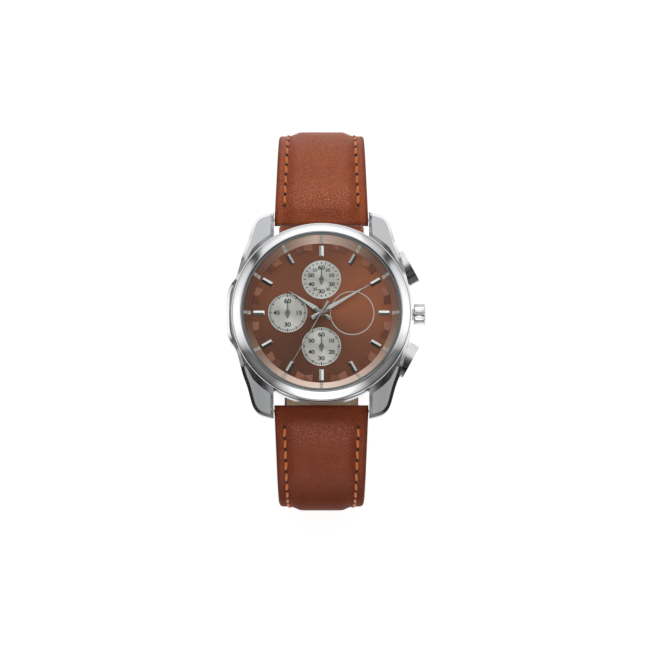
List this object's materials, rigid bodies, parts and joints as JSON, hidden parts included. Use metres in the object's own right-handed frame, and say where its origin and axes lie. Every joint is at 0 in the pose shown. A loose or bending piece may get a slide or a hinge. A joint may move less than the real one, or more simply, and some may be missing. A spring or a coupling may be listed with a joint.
{
  "type": "chronograph wristwatch",
  "caption": "Round steel chronograph watch with a brown dial, silver counters, crown, pushers and a brown leather strap on spring bars.",
  "frame": {"origin": "centre of the caseback's outer flat face", "axes": "+X towards 3 o'clock and the crown, +Y towards 12 o'clock, +Z out through the crystal"},
  "size_m": [0.0468, 0.0904, 0.0583],
  "materials": {
    "brushed_steel": "satin brushed stainless steel",
    "polished_steel": "mirror-polished stainless steel",
    "dark_hand": "blackened nickel",
    "movement_brass": "lightly brushed brass",
    "cell_nickel": "nickel plate",
    "coil_copper": "enamelled copper winding",
    "dial_brown": "sunburst brown lacquer",
    "subdial_silver": "sunburst silver lacquer",
    "gasket_rubber": "matt black rubber",
    "holder_plastic": "moulded off-white plastic",
    "circuit_green": "green solder mask",
    "strap_leather": "pebbled cognac leather",
    "crystal_glass": "clear polished mineral crystal"
  },
  "bodies": {
    "case": {"case_middle": "brushed_steel", "bezel": "polished_steel", "crystal": "crystal_glass", "crystal_gasket": "gasket_rubber", "caseback": "polished_steel", "caseback_gasket": "gasket_rubber", "dial": "dial_brown", "chapter_ring": "dial_brown", "hour_index_ring": "polished_steel", "subdial_disc_12": "subdial_silver", "subdial_disc_9": "subdial_silver", "subdial_disc_6": "subdial_silver", "movement_holder": "holder_plastic", "mainplate": "movement_brass", "train_bridge": "movement_brass", "circuit_board": "circuit_green", "battery": "cell_nickel", "battery_clamp": "cell_nickel", "motor_coil": "coil_copper", "stator": "brushed_steel", "crown_tube": "brushed_steel", "pusher_tube_2": "brushed_steel", "pusher_spring_2": "brushed_steel", "pusher_tube_4": "brushed_steel", "pusher_spring_4": "brushed_steel", "spring_bar_12": "brushed_steel", "spring_bar_6": "brushed_steel"},
    "minute_arbor": {"cannon_pinion": "brushed_steel", "minute_hand": "polished_steel"},
    "minute_wheel_body": {"minute_wheel": "movement_brass"},
    "hour_pipe": {"hour_wheel": "movement_brass", "hour_hand": "polished_steel"},
    "seconds_arbor": {"seconds_wheel": "movement_brass", "running_seconds_hand": "dark_hand"},
    "intermediate_wheel_body": {"intermediate_wheel": "movement_brass"},
    "rotor_body": {"stepping_rotor": "brushed_steel"},
    "third_wheel_body": {"third_wheel": "movement_brass"},
    "centre_wheel_body": {"centre_wheel": "movement_brass"},
    "chrono_arbor": {"chrono_wheel": "movement_brass", "chrono_seconds_hand": "dark_hand"},
    "minute_counter": {"minute_counter_wheel": "movement_brass", "minute_counter_hand": "dark_hand"},
    "hour_counter": {"hour_counter_wheel": "movement_brass", "hour_counter_hand": "dark_hand"},
    "crown_carrier": {"crown_gasket": "gasket_rubber"},
    "crown_and_stem": {"crown": "polished_steel", "stem": "brushed_steel"},
    "sliding_pinion_body": {"sliding_pinion": "brushed_steel"},
    "setting_lever_body": {"setting_lever": "brushed_steel"},
    "pusher_2": {"pusher_button_2": "polished_steel", "pusher_clip_2": "brushed_steel"},
    "pusher_4": {"pusher_button_4": "polished_steel", "pusher_clip_4": "brushed_steel"},
    "strap_12": {"strap_short": "strap_leather", "keeper_fixed": "strap_leather", "buckle_bar": "brushed_steel"},
    "keeper": {"keeper_free": "strap_leather"},
    "buckle": {"buckle_frame": "polished_steel"},
    "tang": {"buckle_tang": "polished_steel"},
    "strap_6": {"strap_long": "strap_leather"}
  },
  "joints": [
    {"name": "minute_turn", "type": "hinge", "parent": "case", "child": "minute_arbor", "pos_m": [0, 0, 0.008], "axis": [0, 0, -1], "continuous": true},
    {"name": "minute_wheel_turn", "type": "hinge", "parent": "case", "child": "minute_wheel_body", "pos_m": [0.00339, -0.00339, 0.0057], "axis": [0, 0, -1], "continuous": true},
    {"name": "hour_turn", "type": "hinge", "parent": "case", "child": "hour_pipe", "pos_m": [0, 0, 0.0075], "axis": [0, 0, -1], "continuous": true},
    {"name": "running_seconds_turn", "type": "hinge", "parent": "case", "child": "seconds_arbor", "pos_m": [0, -0.0079, 0.0074], "axis": [0, 0, -1], "continuous": true},
    {"name": "intermediate_wheel_turn", "type": "hinge", "parent": "case", "child": "intermediate_wheel_body", "pos_m": [0.00316, -0.00905, 0.0035], "axis": [0, 0, -1], "continuous": true},
    {"name": "rotor_turn", "type": "hinge", "parent": "case", "child": "rotor_body", "pos_m": [0.00565, -0.00761, 0.003], "axis": [0, 0, -1], "continuous": true},
    {"name": "third_wheel_turn", "type": "hinge", "parent": "case", "child": "third_wheel_body", "pos_m": [-0.00143, -0.00408, 0.0035], "axis": [0, 0, -1], "continuous": true},
    {"name": "centre_wheel_turn", "type": "hinge", "parent": "case", "child": "centre_wheel_body", "pos_m": [0, 0, 0.0043], "axis": [0, 0, -1], "continuous": true},
    {"name": "chrono_seconds_turn", "type": "hinge", "parent": "case", "child": "chrono_arbor", "pos_m": [0, 0, 0.0087], "axis": [0, 0, -1], "continuous": true},
    {"name": "minute_counter_turn", "type": "hinge", "parent": "case", "child": "minute_counter", "pos_m": [-0.0079, 0, 0.0074], "axis": [0, 0, -1], "continuous": true},
    {"name": "hour_counter_turn", "type": "hinge", "parent": "case", "child": "hour_counter", "pos_m": [0, 0.0079, 0.0074], "axis": [0, 0, -1], "continuous": true},
    {"name": "crown_pull", "type": "slide", "parent": "case", "child": "crown_carrier", "axis": [1, 0, 0], "range_m": [0, 0.0012]},
    {"name": "crown_turn", "type": "hinge", "parent": "crown_carrier", "child": "crown_and_stem", "pos_m": [0.0222, 0, 0.0042], "axis": [1, 0, 0], "continuous": true},
    {"name": "sliding_pinion_slide", "type": "slide", "parent": "crown_and_stem", "child": "sliding_pinion_body", "axis": [1, 0, 0], "range_m": [-0.0019, 0.0001]},
    {"name": "setting_lever_turn", "type": "hinge", "parent": "case", "child": "setting_lever_body", "pos_m": [0.0114, 0.0026, 0.0031], "axis": [0, 0, 1], "range_deg": [-1, 28]},
    {"name": "pusher_2_press", "type": "slide", "parent": "case", "child": "pusher_2", "axis": [-0.8788, -0.4772, 0], "range_m": [0, 0.0009], "stiffness_N_per_m": 400, "springref_m": -0.0004, "deforming": ["pusher_spring_2"]},
    {"name": "pusher_4_press", "type": "slide", "parent": "case", "child": "pusher_4", "axis": [-0.8788, 0.4772, 0], "range_m": [0, 0.0009], "stiffness_N_per_m": 400, "springref_m": -0.0004, "deforming": ["pusher_spring_4"]},
    {"name": "strap_12_hinge", "type": "hinge", "parent": "case", "child": "strap_12", "pos_m": [0, 0.0227, 0.0028], "axis": [1, 0, 0], "range_deg": [-20, 35]},
    {"name": "keeper_slide", "type": "slide", "parent": "strap_12", "child": "keeper", "axis": [0, 1, 0], "range_m": [-0.0035, 0.0004]},
    {"name": "buckle_hinge", "type": "hinge", "parent": "strap_12", "child": "buckle", "pos_m": [0, 0.0115, -0.03357], "axis": [-1, 0, 0], "range_deg": [-25, 80]},
    {"name": "tang_hinge", "type": "hinge", "parent": "buckle", "child": "tang", "pos_m": [0, 0.0115, -0.03357], "axis": [1, 0, 0], "range_deg": [0, 50]},
    {"name": "strap_6_hinge", "type": "hinge", "parent": "case", "child": "strap_6", "pos_m": [0, -0.0227, 0.0028], "axis": [-1, 0, 0], "range_deg": [0, 35]}
  ],
  "couplings": [
    {"joint": "minute_wheel_turn", "follows": "minute_turn", "ratio": -0.33333},
    {"joint": "hour_turn", "follows": "minute_turn", "ratio": 0.083333},
    {"joint": "intermediate_wheel_turn", "follows": "running_seconds_turn", "ratio": -6},
    {"joint": "rotor_turn", "follows": "running_seconds_turn", "ratio": 30},
    {"joint": "third_wheel_turn", "follows": "running_seconds_turn", "ratio": -0.13333},
    {"joint": "centre_wheel_turn", "follows": "running_seconds_turn", "ratio": 0.016667},
    {"joint": "minute_counter_turn", "follows": "chrono_seconds_turn", "ratio": 0.016667},
    {"joint": "hour_counter_turn", "follows": "chrono_seconds_turn", "ratio": 0.0013889},
    {"joint": "sliding_pinion_slide", "follows": "crown_pull", "ratio": -1.5},
    {"joint": "setting_lever_turn", "follows": "crown_pull", "rad_per_m": 400}
  ]
}
